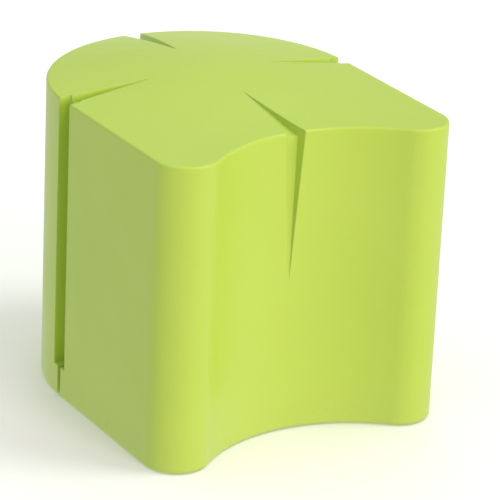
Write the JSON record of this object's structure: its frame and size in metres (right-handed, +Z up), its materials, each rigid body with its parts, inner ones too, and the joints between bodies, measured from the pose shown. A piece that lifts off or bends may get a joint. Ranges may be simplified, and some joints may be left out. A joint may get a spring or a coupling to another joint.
{
  "type": "mounting block",
  "caption": "Hollow moulded one-step mounting block with a rounded back, a hollowed front that nests, a crowned grooved deck, side channels and rubber feet.",
  "frame": {"origin": "middle of the footprint, on the floor that the feet stand on", "axes": "+Z up, +Y towards the rounded back, -Y towards the hollowed front, +X to the right seen from the front"},
  "size_m": [0.46, 0.5366, 0.4689],
  "materials": {
    "moulded_plastic": "satin lime green polyethylene with a fine moulded grain",
    "bung_plastic": "satin black plastic",
    "ring_plastic": "plain black plastic",
    "seal_rubber": "smooth black rubber",
    "foot_rubber": "matt black rubber",
    "stainless_steel": "bright stainless steel",
    "insert_brass": "plain machined brass"
  },
  "bodies": {
    "block": {"body": "moulded_plastic", "bung_ring": "ring_plastic", "foot_screws": "stainless_steel", "foot_washers": "stainless_steel", "foot_inserts": "insert_brass", "foot_front_left": "foot_rubber", "foot_front_right": "foot_rubber", "foot_middle_left": "foot_rubber", "foot_middle_right": "foot_rubber", "foot_rear_left": "foot_rubber", "foot_rear_right": "foot_rubber"},
    "seal": {"bung_seal": "seal_rubber"},
    "bung": {"fill_bung": "bung_plastic"}
  },
  "joints": [
    {"name": "bung_travel", "type": "slide", "parent": "block", "child": "seal", "axis": [0, 1, 0], "range_m": [0, 0.0181]},
    {"name": "bung_turn", "type": "hinge", "parent": "seal", "child": "bung", "pos_m": [0, 0.2553, 0.081], "axis": [0, 1, 0], "range_deg": [0, 1440]}
  ],
  "couplings": [
    {"joint": "bung_travel", "follows": "bung_turn", "m_per_rad": 0.0007162}
  ]
}
